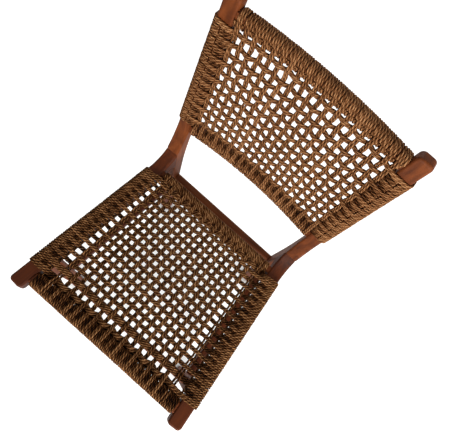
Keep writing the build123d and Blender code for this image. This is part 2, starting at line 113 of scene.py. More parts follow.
white_floor = bpy.data.materials.new("white_floor")
tree, add, link = nodes_of(white_floor)
shadowed = add("ShaderNodeBsdfDiffuse")
shadowed.inputs["Color"].default_value = (0.60, 0.60, 0.59, 1)
paper = add("ShaderNodeEmission")
paper.inputs["Color"].default_value = (1, 1, 1, 1)
plain = add("ShaderNodeBsdfDiffuse")
plain.inputs["Color"].default_value = (0.16, 0.15, 0.14, 1)
looked_at = add("ShaderNodeAddShader")
# painted shade: ambient occlusion turns the floor's white glow down under and near the chair
painted_floor_shade = add("ShaderNodeAmbientOcclusion", samples=12)
painted_floor_shade.inputs["Distance"].default_value = 0.95
glow = add("ShaderNodeMapRange")
glow.inputs["From Min"].default_value = 0.5
glow.inputs["From Max"].default_value = 0.8
glow.inputs["To Min"].default_value = 0.0
glow.inputs["To Max"].default_value = 0.92
mix = add("ShaderNodeMixShader")
finish = add("ShaderNodeOutputMaterial")
link(painted_floor_shade.outputs["AO"], glow.inputs["Value"])
link(glow.outputs["Result"], paper.inputs["Strength"])
link(shadowed.outputs[0], looked_at.inputs[0])
link(paper.outputs[0], looked_at.inputs[1])
link(seen_white(add, link), mix.inputs[0])
link(plain.outputs[0], mix.inputs[1])
link(looked_at.outputs[0], mix.inputs[2])
link(mix.outputs[0], finish.inputs["Surface"])
floor_mesh.materials.append(white_floor)

world = bpy.data.worlds.new("studio")
bpy.context.scene.world = world
tree, add, link = nodes_of(world)
dim = add("ShaderNodeBackground")
dim.inputs["Color"].default_value = (1.0, 0.98, 0.96, 1)
dim.inputs["Strength"].default_value = 0.06
bright = add("ShaderNodeBackground")
bright.inputs["Color"].default_value = (1, 1, 1, 1)
mix = add("ShaderNodeMixShader")
finish = add("ShaderNodeOutputWorld")
link(seen_white(add, link), mix.inputs[0])
link(dim.outputs[0], mix.inputs[1])
link(bright.outputs[0], mix.inputs[2])
link(mix.outputs[0], finish.inputs["Surface"])


def lamp(name, place, aim, size, power, colour):
    """A square soft lamp at a place, turned to face a point."""
    data = bpy.data.lights.new(name, "AREA")
    data.shape = "RECTANGLE"
    data.size, data.size_y = size
    data.energy = power
    data.color = colour
    away = np.array(place) - np.array(aim)
    away /= np.linalg.norm(away)
    side = np.cross((0, 0, 1), away)
    side /= np.linalg.norm(side)
    stand = np.eye(4)
    stand[:3, 0], stand[:3, 1], stand[:3, 2] = side, np.cross(away, side), away
    stand[:3, 3] = place
    light = bpy.data.objects.new(name, data)
    light.matrix_world = Matrix(stand)
    bpy.context.collection.objects.link(light)


SEAT_MIDDLE = (0.0, 0.0, 0.5)
lamp("front_lamp", (1.2, -2.4, 1.25), SEAT_MIDDLE, (1.1, 0.8), 82, (1.0, 0.97, 0.93))
lamp("side_lamp", (2.3, -0.3, 1.5), SEAT_MIDDLE, (0.9, 0.9), 30, (1.0, 0.96, 0.92))
lamp("rear_lamp", (-0.9, 2.7, 1.5), SEAT_MIDDLE, (1.0, 1.0), 22, (1.0, 0.97, 0.94))
lamp("top_lamp", (-0.4, 0.2, 3.2), SEAT_MIDDLE, (0.7, 0.7), 8, (1.0, 0.98, 0.96))

# ---- The wooden frame ---------------------------------------------------------------------------
# Posts, rails, legs and stretchers of an oiled reddish hardwood, rounded by hand and joined with
# hidden tenons. Each keeps its solid's own shape; the grain runs along each piece.
def wood(name, along, dark, light):
    """Oiled hardwood whose grain runs along one axis, between a dark and a light tone.

    Streaks are noise drawn out fourteen times along the grain; slow noise shifts the tone from
    board to board, and fine noise along the pores roughens the surface.
    """
    material = bpy.data.materials.new(name)
    tree, add, link = nodes_of(material)
    where = add("ShaderNodeTexCoord")
    stretch = add("ShaderNodeMapping")
    stretch.inputs["Scale"].default_value = [1.0 if axis != along else 0.07 for axis in "XYZ"]
    streaks = add("ShaderNodeTexNoise")
    streaks.inputs["Scale"].default_value = 95.0
    streaks.inputs["Detail"].default_value = 6.0
    streaks.inputs["Distortion"].default_value = 0.6
    slow = add("ShaderNodeTexNoise")
    slow.inputs["Scale"].default_value = 9.0
    slow.inputs["Detail"].default_value = 2.0
    pores = add("ShaderNodeTexNoise")
    pores.inputs["Scale"].default_value = 700.0
    pores.inputs["Detail"].default_value = 3.0
    both = add("ShaderNodeMix", data_type="FLOAT")
    both.inputs["Factor"].default_value = 0.4
    tone = add("ShaderNodeValToRGB")
    tone.color_ramp.elements[0].position = 0.3
    tone.color_ramp.elements[0].color = dark
    tone.color_ramp.elements[1].position = 0.72
    tone.color_ramp.elements[1].color = light
    rough = add("ShaderNodeMapRange")
    rough.inputs["To Min"].default_value = 0.5
    rough.inputs["To Max"].default_value = 0.68
    bump = add("ShaderNodeBump")
    bump.inputs["Strength"].default_value = 0.12
    bump.inputs["Distance"].default_value = 0.0004
    skin = add("ShaderNodeBsdfPrincipled")
    skin.inputs["Specular IOR Level"].default_value = 0.15
    finish = add("ShaderNodeOutputMaterial")
    link(where.outputs["Object"], stretch.inputs["Vector"])
    link(stretch.outputs["Vector"], streaks.inputs["Vector"])
    link(where.outputs["Object"], slow.inputs["Vector"])
    link(stretch.outputs["Vector"], pores.inputs["Vector"])
    link(streaks.outputs["Fac"], both.inputs["A"])
    link(slow.outputs["Fac"], both.inputs["B"])
    link(both.outputs["Result"], tone.inputs["Fac"])
    link(tone.outputs["Color"], skin.inputs["Base Color"])
    link(pores.outputs["Fac"], rough.inputs["Value"])
    link(rough.outputs["Result"], skin.inputs["Roughness"])
    link(streaks.outputs["Fac"], bump.inputs["Height"])
    link(bump.outputs["Normal"], skin.inputs["Normal"])
    link(skin.outputs["BSDF"], finish.inputs["Surface"])
    return material


# One hardwood in three tones: painted shade makes the side rails and stretchers the darkest and
# the cross pieces darker than the posts, for how the light falls on each.
upright_wood = wood("upright_wood", "Z", (0.050, 0.010, 0.002, 1), (0.27, 0.070, 0.017, 1))
lengthwise_wood = wood("lengthwise_wood", "Y", (0.024, 0.004, 0.0006, 1), (0.13, 0.028, 0.005, 1))
crosswise_wood = wood("crosswise_wood", "X", (0.040, 0.007, 0.0012, 1), (0.22, 0.056, 0.013, 1))
frame_pieces = {
    upright_wood: ("rear_post_left", "rear_post_right", "front_leg_left", "front_leg_right"),
    lengthwise_wood: ("side_rail_left", "side_rail_right", "side_stretcher_left",
                      "side_stretcher_right"),
    crosswise_wood: ("seat_front_rail", "seat_rear_rail", "back_top_rail", "back_low_rail",
                     "front_stretcher", "rear_stretcher"),
}
for material, names in frame_pieces.items():
    for name in names:
        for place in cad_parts[name].material_slots:
            place.material = material

# ---- The weave of the seat ----------------------------------------------------------------------
# Pairs of twisted grass ropes run from the front rail to the rear one, and other pairs cross them
# over and under from side to side, with thick rows of three beside the rear and the front rail.
# Each rope goes on over its rail and round it.

# The rope: three plies of brown fibre wound round each other, as one closed surface.
ROPE = 0.0048
ROPE_LAY = 0.0175         # length in which the plies go once round
ROPE_STEP = 0.0021        # spacing of the rings of points along a rope
RING = 9                  # points in a ring
CREASE = 0.24             # depth of the creases between the plies, in half thicknesses
GIRTH_DRIFT = (0.07, 0.05)      # how much the thickness varies, and over what length
OWN_TONE = (0.5, 0.15)          # middle and spread of the ropes' tones
TONE_DRIFT = (0.2, 0.08)        # how much a tone varies in its rope, and over what length
FLANK_SHADE = 0.85        # painted shade on a rope's flanks, where they face its neighbours
chance = np.random.default_rng(7)


def drift(places, swing, reach):
    """Slow uneven wandering along a length: swing times the weighted mean of three sines.

    The longest has the wavelength reach. The others are shorter and weigh less by odd shares.
    """
    shares = (1.0, 0.57, 0.29)
    total = np.zeros_like(places)
    for share in shares:
        total = total + share * np.sin(places * (2 * math.pi / (reach * share))
                                       + chance.uniform(0, 2 * math.pi))
    return swing * total / sum(shares)


def even_steps(points):
    """The same way and its shade in even steps, with the corners eased by a five-step mean."""
    gone = np.concatenate([[0], np.cumsum(np.linalg.norm(np.diff(points[:, :3], axis=0), axis=1))])
    at = np.linspace(0, gone[-1], max(int(gone[-1] / ROPE_STEP), 8))
    walked = np.stack([np.interp(at, gone, points[:, axis]) for axis in range(4)], axis=-1)
    wide = np.concatenate([walked[:1], walked[:1], walked, walked[-1:], walked[-1:]])
    return (wide[:-4] + wide[1:-3] + wide[2:-2] + wide[3:-1] + wide[4:]) / 5


def rope_mesh(name, runs, thickness, material):
    """One object holding many ropes, each given as its way, its shade and a direction.

    The direction is square to the rope's bends. Round each point of the way the section is half
    the thickness times (1 - CREASE + CREASE |cos 1.5a|): three plies, creased between. The
    section turns once in every lay of length. 'ply' is 1 on a ply's crown and 0 beside it, for the
    painted shade in the creases and the painted highlight on the crowns. 'tone' is the rope's own
    shade less painted shade: the run's shade (where the rope dives, in the dents, on the ropes in
    the gaps) and more on the flanks that face its neighbours. The map runs in metres along the
    rope and from 0 to 1 round it.
    """
    turn = np.arange(RING) * (2 * math.pi / RING)
    lobe = np.abs(np.cos(1.5 * turn))
    swell = 1 - CREASE + CREASE * lobe
    points, plies, tones, corners, starts, sizes, maps = [], [], [], [], [], [], []
    first = loop = 0
    for way, shade, square in runs:
        way = even_steps(np.column_stack([way, np.broadcast_to(shade, len(way))]))
        way, shade = way[:, :3], way[:, 3]
        ahead = np.gradient(way, axis=0)
        ahead /= np.linalg.norm(ahead, axis=1, keepdims=True)
        side = np.cross(ahead, square)
        side /= np.linalg.norm(side, axis=1, keepdims=True)
        rise = np.cross(side, ahead)
        gone = np.arange(len(way)) * np.linalg.norm(way[1] - way[0])
        angle = (chance.uniform(0, 6.28) - gone * (2 * math.pi / ROPE_LAY))[:, None] + turn
        girth = thickness / 2 * swell * (1 + drift(gone, *GIRTH_DRIFT))[:, None]
        ring = (way[:, None] + (girth * np.cos(angle))[..., None] * rise[:, None]
                + (girth * np.sin(angle))[..., None] * side[:, None])
        rows = len(way)
        points.append(ring.reshape(-1, 3))
        plies.append(np.tile(2 * lobe - 1, rows))
        own = chance.normal(*OWN_TONE) + drift(gone, *TONE_DRIFT)
        # painted shade on the flanks that face the neighbours, and the run's painted shade, come
        # off the rope's own tone
        flank = np.cos(angle) ** 4
        tones.append(((np.clip(own, 0, 1) - shade)[:, None] - FLANK_SHADE * flank).ravel())
        row, step = np.meshgrid(np.arange(rows - 1), np.arange(RING), indexing="ij")
        after = (step + 1) % RING
        quads = np.stack([row * RING + step, row * RING + after, (row + 1) * RING + after,
                          (row + 1) * RING + step], axis=-1).reshape(-1, 4) + first
        along = np.stack([gone[row], gone[row], gone[row + 1], gone[row + 1]], -1).reshape(-1, 4)
        round_ = np.stack([step, step + 1, step + 1, step], -1).reshape(-1, 4) / RING
        caps = np.stack([np.arange(RING)[::-1], (rows - 1) * RING + np.arange(RING)]) + first
        corners += [quads.ravel(), caps.ravel()]
        maps += [np.stack([along, round_], -1).reshape(-1, 2), np.zeros((2 * RING, 2))]
        starts += [loop + 4 * np.arange(len(quads)), loop + quads.size + RING * np.arange(2)]
        sizes += [np.full(len(quads), 4), np.full(2, RING)]
        loop += quads.size + caps.size
        first += rows * RING
    points, corners, starts = (np.concatenate(part) for part in (points, corners, starts))
    mesh = bpy.data.meshes.new(name)
    mesh.vertices.add(len(points))
    mesh.vertices.foreach_set("co", points.ravel())
    mesh.loops.add(len(corners))
    mesh.loops.foreach_set("vertex_index", corners)
    mesh.polygons.add(len(starts))
    mesh.polygons.foreach_set("loop_start", starts)
    mesh.polygons.foreach_set("loop_total", np.concatenate(sizes))
    mesh.polygons.foreach_set("use_smooth", np.ones(len(starts), bool))
    mesh.uv_layers.new(name="length_round").data.foreach_set("uv", np.concatenate(maps).ravel())
    for label, values in (("ply", plies), ("tone", tones)):
        mesh.attributes.new(label, "FLOAT", "POINT").data.foreach_set("value",
                                                                      np.concatenate(values))
    mesh.update()
    mesh.validate()
    mesh.materials.append(material)
    rope = bpy.data.objects.new(name, mesh)
    bpy.context.collection.objects.link(rope)
    return rope


def rope_material(name, dark, middle, light):
    """Twisted grass rope: fibres are noise drawn out along the rope's own map.

    Its colour goes from painted shade in the crease between the plies to a painted highlight on
    their crowns, shifted by each rope's tone with its painted shade, and streaked by the fibres,
    which also stand up as a fine bump.
    """
    material = bpy.data.materials.new(name)
    tree, add, link = nodes_of(material)
    own_map = add("ShaderNodeUVMap", uv_map="length_round")
    stretch = add("ShaderNodeMapping")
    stretch.inputs["Scale"].default_value = (300.0, 12.0, 1.0)
    fibres = add("ShaderNodeTexNoise")
    fibres.inputs["Scale"].default_value = 1.0
    fibres.inputs["Detail"].default_value = 4.0
    fibres.inputs["Roughness"].default_value = 0.7
    ply = add("ShaderNodeAttribute", attribute_name="ply")
    tone = add("ShaderNodeAttribute", attribute_name="tone")
    # painted shade in the creases and painted highlight on the crowns, from 'ply'
    weigh_ply = add("ShaderNodeMath", operation="MULTIPLY_ADD")
    weigh_ply.inputs[1].default_value = 0.55
    weigh_ply.inputs[2].default_value = -0.27
    # the rope's own tone less its painted shade, from 'tone'
    weigh_tone = add("ShaderNodeMath", operation="MULTIPLY_ADD")
    weigh_tone.inputs[1].default_value = 0.4
    weigh_fibre = add("ShaderNodeMath", operation="MULTIPLY_ADD")
    weigh_fibre.inputs[1].default_value = 0.85
    colour = add("ShaderNodeValToRGB")
    colour.color_ramp.elements[0].position = 0.08
    colour.color_ramp.elements[0].color = dark
    colour.color_ramp.elements[1].position = 0.95
    colour.color_ramp.elements[1].color = light
    between = colour.color_ramp.elements.new(0.52)
    between.color = middle
    bump = add("ShaderNodeBump")
    bump.inputs["Strength"].default_value = 0.7
    bump.inputs["Distance"].default_value = 0.0008
    skin = add("ShaderNodeBsdfPrincipled")
    skin.inputs["Roughness"].default_value = 0.7
    skin.inputs["Specular IOR Level"].default_value = 0.03
    finish = add("ShaderNodeOutputMaterial")
    link(own_map.outputs["UV"], stretch.inputs["Vector"])
    link(stretch.outputs["Vector"], fibres.inputs["Vector"])
    link(ply.outputs["Fac"], weigh_ply.inputs[0])
    link(tone.outputs["Fac"], weigh_tone.inputs[0])
    link(weigh_ply.outputs[0], weigh_tone.inputs[2])
    link(fibres.outputs["Fac"], weigh_fibre.inputs[0])
    link(weigh_tone.outputs[0], weigh_fibre.inputs[2])
    link(weigh_fibre.outputs[0], colour.inputs["Fac"])
    link(colour.outputs["Color"], skin.inputs["Base Color"])
    link(fibres.outputs["Fac"], bump.inputs["Height"])
    link(bump.outputs["Normal"], skin.inputs["Normal"])
    link(skin.outputs["BSDF"], finish.inputs["Surface"])
    return material


# One rope in two copies: painted shade makes the seat's darker and painted light the back's
# lighter, for the low light in front that grazes the seat and falls full on the back.
seat_rope = rope_material("seat_rope", (0.005, 0.0014, 0.0004, 1), (0.110, 0.040, 0.012, 1),
                          (0.56, 0.290, 0.125, 1))
back_rope = rope_material("back_rope", (0.030, 0.0100, 0.0034, 1), (0.220, 0.086, 0.031, 1),
                          (0.58, 0.305, 0.140, 1))

# The frame that the rope is wound on: the seat's slope, the splay of its side rails, and the bars.
POST_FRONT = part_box("rear_post_left")[0][1]
REAR_HALF_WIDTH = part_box("rear_post_left")[1][0]
SEAT_SLOPE = math.radians(3.2)
SEAT_REAR_TOP = 0.4419
REAR_BARE = 0.059
SEAT_DEPTH = 0.449
FRONT_HALF_WIDTH = 0.2408
RAIL_WIDTH, RAIL_HEIGHT, RAIL_ROUND = 0.0335, 0.035, 0.005
RAIL_ANGLE = math.asin((FRONT_HALF_WIDTH - REAR_HALF_WIDTH) / SEAT_DEPTH)
LIFT = 0.0002 + ROPE / 2  # a wound rope's middle stands this far off its rail
EDGE_MARGIN = 0.001       # a rope leaves its rail this far before the edge's rounding
FRONT_RAIL = (-0.3695, -0.3440, 0.033)    # front face, back face, height
REAR_RAIL = (0.0036, 0.0210, 0.028)


def on_seat(x, y, z):
    """Points of the seat: x across, y back from the wraps' rear ends, z above the rails' top."""
    x, y, z = np.broadcast_arrays(x, y, z)
    back = POST_FRONT - REAR_BARE + y * math.cos(SEAT_SLOPE) + z * math.sin(SEAT_SLOPE)
    return np.stack([x, back,
                     SEAT_REAR_TOP - y * math.sin(SEAT_SLOPE) + z * math.cos(SEAT_SLOPE)], axis=-1)


def on_rail(side, x, y, z):
    """Points of a side rail: x out from its outer face, y back from the post, z above its top."""
    across = REAR_HALF_WIDTH + x * math.cos(RAIL_ANGLE) - y * math.sin(RAIL_ANGLE)
    back = REAR_BARE + x * math.sin(RAIL_ANGLE) + y * math.cos(RAIL_ANGLE)
    return on_seat(side * across, back, z)


def rail_inner(y):
    """How far out the left side rail's inner face is where it crosses y on the seat."""
    slant = math.tan(RAIL_ANGLE)
    return REAR_HALF_WIDTH - RAIL_WIDTH / math.cos(RAIL_ANGLE) + slant * (REAR_BARE - y)


def round_bar(width, height, start=0.0, end=1.0):
    """A rope's way round a bar, from the middle of its underside by its right side to the top.

    The bar's edges and the rope's own thickness give the corners: quarter circles of nine
    points, joined by straight lines and walked from one share of the girth to another.
    """
    corner = RAIL_ROUND + LIFT
    angle = np.radians(np.concatenate([np.linspace(q, q + 90, 9) for q in (270, 0, 90, 180)]))
    right, upper = np.repeat([1, 1, -1, -1], 9), np.repeat([-1, 1, 1, -1], 9)
    x = right * (width / 2 + LIFT - corner) + corner * np.cos(angle)
    z = upper * (height / 2 + LIFT - corner) + corner * np.sin(angle)
    x = np.concatenate([[0], x, [0]])
    z = np.concatenate([[-height / 2 - LIFT], z, [-height / 2 - LIFT]])
    gone = np.concatenate([[0], np.cumsum(np.hypot(np.diff(x), np.diff(z)))])
    at = np.linspace(start, end, 90) * gone[-1]
    return np.interp(at, gone, x), np.interp(at, gone, z)


def over_top(width, height):
    """The share of the girth at which a rope has crossed the top and leaves for the weave."""
    girth = 2 * (width + height) + 4 * LIFT
    return 0.5 + (width / 2 - RAIL_ROUND - EDGE_MARGIN) / girth


# The rows: how many there are, how high they ride, how close their ropes are, how far these
# stray (a distance, and the length in which they do), and where the rows lie.
SEAT_WARPS, SEAT_WEFTS = 18, 15   # pairs front to rear, and across between the thick rows
SEAT_LEVEL = -0.0045      # middle of the weave above the rails' top
CREST = 0.0024            # how far a rope rises and falls from the middle of the weave
THICK_CREST, REAR_CREST = 0.0016, 0.0030    # and how much higher the thick rows ride
THICK_SINK = 0.0012       # how much lower a rope runs under a thick row
PAIR_SPREAD, THICK_SPREAD, EDGE_SPREAD = 0.97, 0.86, 1.35   # neighbours' distance, in ropes
SEAT_THICKNESS = ROPE * 1.16    # thickness over the plies' crowns
OVER_RAIL = 0.004         # a row's way starts this far over its rail
FIELD_MARGIN = 0.005      # from a rail to where a row starts to wave
FREE_REACH = 0.006        # length over which it comes free of the rail
SEAT_DIP = 0.016          # and over which it sinks from it to the weave's level
WARP_WANDER, WEFT_WANDER = (0.0009, 0.050), (0.0009, 0.055)     # a pair, sideways
ROPE_STRAY, ROPE_HEAVE = (0.0003, 0.030), (0.0003, 0.020)       # each rope, sideways and up
SWAY, SWAY_PARTING = 0.0012, 0.12       # an end row's bends, and how far its ropes part there
HIDDEN_START = 0.02       # share of a bar's girth at which a rope's end hides below it
UNDER_SHADE = 0.5         # painted shade on a rope where it dives under a crossing row
WEFT_PITCH = 0.01864
REAR_ROW, FIRST_WEFT = -0.0090, -0.0219
FRONT_ROWS = (-0.3055, -0.3295)
weft_y = np.concatenate([[REAR_ROW], FIRST_WEFT - WEFT_PITCH * np.arange(SEAT_WEFTS),
                         FRONT_ROWS])
weft_ropes = [3] + [2] * SEAT_WEFTS + [3, 3]
FIELD_FRONT, FIELD_REAR = FRONT_RAIL[1] + FIELD_MARGIN, REAR_RAIL[0] - FIELD_MARGIN
OUTER_WARP = (0.1685, 0.1535)     # outermost pair at the front and at the rear
OUTER_SPACING = 0.0239            # from there to the next pair


def warp_places(y):
    """The middles of the seat's warp pairs at y, fanned out with the side rails."""
    share = (y - FIELD_FRONT) / (FIELD_REAR - FIELD_FRONT)
    outer = OUTER_WARP[0] + share * (OUTER_WARP[1] - OUTER_WARP[0])
    inner = np.linspace(-1, 1, SEAT_WARPS - 2) * (outer - OUTER_SPACING)
    return np.concatenate([[-outer], inner, [outer]])


def weave_level(places, crossings, levels):
    """Height of a rope along its way: a smooth wave through its levels at the crossings."""
    left = np.clip(np.searchsorted(crossings, places) - 1, 0, len(crossings) - 2)
    share = np.clip((places - crossings[left]) / (crossings[left + 1] - crossings[left]), 0, 1)
    smooth = share * share * (3 - 2 * share)
    return levels[left] + (levels[left + 1] - levels[left]) * smooth


def dip(places, low_end, high_end, level, reach):
    """Height of a row that sinks, within reach of both rails, to the level of the weave."""
    share = np.clip(np.minimum(places - low_end, high_end - places) / reach, 0, 1)
    smooth = share * share * (3 - 2 * share)
    return LIFT + (level - LIFT) * smooth


def freed(distance):
    """0 on the rail and 1 out in the field, rising evenly round a distance of nought."""
    return np.clip(distance / FREE_REACH + 0.5, 0, 1)


def seat_warps():
    """Each warp rope: up and over the front rail, through the weave, over the rear rail."""
    runs, front_places, rear_places = [], [], []
    order = np.argsort(weft_y)
    thick = np.array([weft_ropes[row] == 3 for row in order])
    y = np.linspace(FRONT_RAIL[1] - OVER_RAIL, REAR_RAIL[0] + OVER_RAIL, 260)
    front_y, front_z = round_bar(FRONT_RAIL[1] - FRONT_RAIL[0], FRONT_RAIL[2], HIDDEN_START,
                                 over_top(FRONT_RAIL[1] - FRONT_RAIL[0], FRONT_RAIL[2]))
    rear_y, rear_z = round_bar(REAR_RAIL[1] - REAR_RAIL[0], REAR_RAIL[2], HIDDEN_START,
                               over_top(REAR_RAIL[1] - REAR_RAIL[0], REAR_RAIL[2]))
    front_y = (FRONT_RAIL[0] + FRONT_RAIL[1]) / 2 - front_y
    rear_y = (REAR_RAIL[0] + REAR_RAIL[1]) / 2 + rear_y
    for index in range(SEAT_WARPS):
        over = -np.array([(-1.0) ** (index + row) for row in order])
        levels = np.where(over > 0, CREST, -CREST - THICK_SINK * thick)
        wave = weave_level(y, weft_y[order], levels)
        free = freed(np.minimum(y - FIELD_FRONT, FIELD_REAR - y))
        level = dip(y, FRONT_RAIL[1], REAR_RAIL[0], SEAT_LEVEL, SEAT_DIP)
        share = (y - FIELD_FRONT) / (FIELD_REAR - FIELD_FRONT)
        ends = warp_places(FIELD_FRONT)[index], warp_places(FIELD_REAR)[index]
        middle = ends[0] + share * (ends[1] - ends[0])
        spread = EDGE_SPREAD if index in (0, SEAT_WARPS - 1) else PAIR_SPREAD
        wander = free * drift(y, *WARP_WANDER)
        for beside in (-0.5, 0.5):
            x = middle + beside * ROPE * spread + wander + free * drift(y, *ROPE_STRAY)
            z = level + free * wave + free * drift(y, *ROPE_HEAVE)
            way = np.concatenate([on_seat(x[0], front_y, front_z - FRONT_RAIL[2] / 2),
                                  on_seat(x, y, z),
                                  on_seat(x[-1], rear_y, rear_z - REAR_RAIL[2] / 2)[::-1]])
            # painted shade where the rope dives under a crossing row
            dark = UNDER_SHADE * free * np.clip(-wave / CREST, 0, 1)
            dark = np.concatenate([np.zeros(len(front_y)), dark, np.zeros(len(rear_y))])
            runs.append((way, dark, (1.0, 0.0, 0.0)))
            front_places.append(x[0])
            rear_places.append(x[-1])
    return runs, np.array(front_places), np.array(rear_places)


EDGE_LEVEL = -0.0068      # straight ropes beside the side rails, above the rails' top
EDGE_ROOM = 0.55          # from the rail's turns to their middles, in ropes
# how far the edge ropes stray, and the painted shade that darkens them a little
EDGE_DRIFT, EDGE_SHADE = (0.0003, 0.04), 0.15
FRONT_GAP_LEVEL, REAR_GAP_LEVEL = -0.0125, -0.0105      # those beside the front and rear rails
# the same for the ropes beside the front and rear rails, painted near black as the shade of their
# gaps
GAP_DRIFT, GAP_SHADE = (0.0002, 0.04), 1.0
FRONT_GAP_STEP = 0.0036   # from one to the next of the three beside the front rail


def seat_edge_ropes():
    """Straight ropes that lie under the weave beside each rail and keep its pairs apart."""
    runs = []
    y = np.linspace(FRONT_RAIL[1], REAR_RAIL[0], 200)
    for side in (-1, 1):
        x = side * (rail_inner(y) - 2 * LIFT - ROPE * EDGE_ROOM)
        way = on_seat(x, y, EDGE_LEVEL + drift(y, *EDGE_DRIFT))
        # painted shade, light on these edge ropes
        runs.append((way, EDGE_SHADE, (1.0, 0.0, 0.0)))
    front, rear = FRONT_RAIL[1] + 2 * LIFT, REAR_RAIL[0] - 2 * LIFT
    for line, low in ((front, FRONT_GAP_LEVEL), (front + FRONT_GAP_STEP, FRONT_GAP_LEVEL),
                      (front + 2 * FRONT_GAP_STEP, FRONT_GAP_LEVEL), (rear, REAR_GAP_LEVEL)):
        reach = rail_inner(line) - LIFT
        x = np.linspace(-reach, reach, 200)
        way = on_seat(x, line + drift(x, *GAP_DRIFT), low)
        # painted shade, near black on the ropes in the gaps
        runs.append((way, GAP_SHADE, (0.0, 1.0, 0.0)))
    return runs


def seat_wefts():
    """Each weft rope: round the right side rail, through the weave, round the left one."""
    runs, rail_places = [], []
    turn_x, turn_z = round_bar(RAIL_WIDTH, RAIL_HEIGHT, HIDDEN_START,
                               over_top(RAIL_WIDTH, RAIL_HEIGHT))
    turn_x, turn_z = turn_x - RAIL_WIDTH / 2, turn_z - RAIL_HEIGHT / 2
    for row, (y, ropes) in enumerate(zip(weft_y, weft_ropes)):
        edge = rail_inner(y)
        x = np.linspace(-edge - OVER_RAIL, edge + OVER_RAIL, 240)
        over = np.array([(-1.0) ** (index + row) for index in range(SEAT_WARPS)])
        crest = CREST + (REAR_CREST if y == REAR_ROW else THICK_CREST) * (ropes == 3)
        wave = weave_level(x, warp_places(y), np.where(over > 0, crest, -CREST))
        free = freed(edge - FIELD_MARGIN - np.abs(x))
        level = dip(x, -edge, edge, SEAT_LEVEL, SEAT_DIP)
        sway = {REAR_ROW: 1, FRONT_ROWS[1]: -1}.get(y, 0)
        wander = free * drift(x, *WEFT_WANDER)
        close = THICK_SPREAD if ropes == 3 else PAIR_SPREAD
        for place in np.arange(ropes) - (ropes - 1) / 2:
            line = (y + place * ROPE * (close + SWAY_PARTING * sway * wave / CREST) + wander
                    + free * drift(x, *ROPE_STRAY) + SWAY * sway * wave / CREST)
            z = level + free * wave + free * drift(x, *ROPE_HEAVE)
            along = (y + place * ROPE * PAIR_SPREAD - REAR_BARE) / math.cos(RAIL_ANGLE)
            along = along + math.tan(RAIL_ANGLE) * RAIL_WIDTH / 2
            way = np.concatenate([on_rail(-1, turn_x, along, turn_z), on_seat(x, line, z),
                                  on_rail(1, turn_x, along, turn_z)[::-1]])
            # painted shade where the rope dives under a crossing row
            dark = UNDER_SHADE * free * np.clip(-wave / CREST, 0, 1)
            dark = np.concatenate([np.zeros(len(turn_x)), dark, np.zeros(len(turn_x))])
            runs.append((way, dark, (0.0, 1.0, 0.0)))
            rail_places.append(along)
    return runs, np.array(rail_places)


warps, front_places, rear_places = seat_warps()
wefts, rail_places = seat_wefts()
for label, runs in (("warp", warps + seat_edge_ropes()), ("weft", wefts)):
    rows = rope_mesh(f"seat_{label}_ropes", runs, SEAT_THICKNESS, seat_rope)
    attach(rows, "root")
    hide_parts(f"seat_{label}")

# ---- The turns round the seat's rails -----------------------------------------------------------
# The same rope, wound close round the bars: two plain turns fill a rail from one pair to the
# next. They cover it all but the noses of the side rails and a little at the posts.
NOSE_LENGTH = 0.050
WRAP_END = 0.0055         # bare rail beyond the rear rail's turns
FRONT_WRAP_END = 0.001    # and beyond the front rail's
TURN_SPACING = 0.00466
TURN_SLANT = (0.4, 0.8)   # least and most that a turn climbs, in spacings
TURN_SHIFT = 0.0002       # how far it lies from its place
TURN_LOOSE = (0.0003, 0.7)      # how far it stands off its bar, and in what share of its girth
DENT, DENT_SHADE = 0.0016, 1.3    # depth of the dents beside the weave, and the painted shade in them
SIDE_DENT = ((0.009 - RAIL_WIDTH / 2, 0.0199), (0.005, 0.010))
FRONT_DENT = ((0.004, 0.0189), (0.008, 0.010))
REAR_DENT = ((-0.012, 0.0164), (0.004, 0.008))


def plain_turns(taken, start, end, spacing):
    """Places of the turns that fill a rail between the ropes that leave it for the weave."""
    marks = np.concatenate([[start - spacing / 2], np.sort(taken), [end + spacing / 2]])
    gaps = [np.linspace(a, b, max(int(round((b - a) / spacing)), 1) + 1)[1:-1]
            for a, b in zip(marks[:-1], marks[1:])]
    return np.concatenate(gaps)


def turns(places, width, height, put, dent):
    """Plain turns round a bar, one at each place; put sets a turn's section on the bar.

    Beside the weave the turns are drawn in between the pairs that leave the rail, and painted
    shade darkens them there. The dent is a bell curve in the section: its middle, and its half
    widths across and up.
    """
    runs = []
    (mid_x, mid_z), (half_x, half_z) = dent
    for place in places:
        x, z = round_bar(width, height)
        # the dent's bell curve, which also sets the painted shade in the dent
        dark = np.exp(-((x - mid_x) / half_x) ** 2 - ((z - mid_z) / half_z) ** 2)
        slant = TURN_SPACING * (np.linspace(0, 1, len(x)) - 0.5) * chance.uniform(*TURN_SLANT)
        loose = drift(np.linspace(0, 1, len(x)), *TURN_LOOSE)
        reach = np.hypot(x, z)
        way, square = put(place + slant + chance.normal(0, TURN_SHIFT), x * (1 + loose / reach),
                          z * (1 + loose / reach) - math.copysign(DENT, mid_z) * dark)
        runs.append((way, DENT_SHADE * dark, square))
    return runs


rail_turns = plain_turns(rail_places, NOSE_LENGTH - SEAT_DEPTH + ROPE / 2, -REAR_BARE - ROPE / 2,
                         TURN_SPACING)
for side, label in ((1, "left"), (-1, "right")):
    runs = turns(rail_turns, RAIL_WIDTH, RAIL_HEIGHT, lambda along, x, z: (
        on_rail(side, x - RAIL_WIDTH / 2, along, z - RAIL_HEIGHT / 2), (0.0, 1.0, 0.0)),
        SIDE_DENT)
    wound = rope_mesh(f"seat_{label}_winding", runs, SEAT_THICKNESS, seat_rope)
    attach(wound, "root")
    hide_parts(f"seat_side_wrap_{label}")

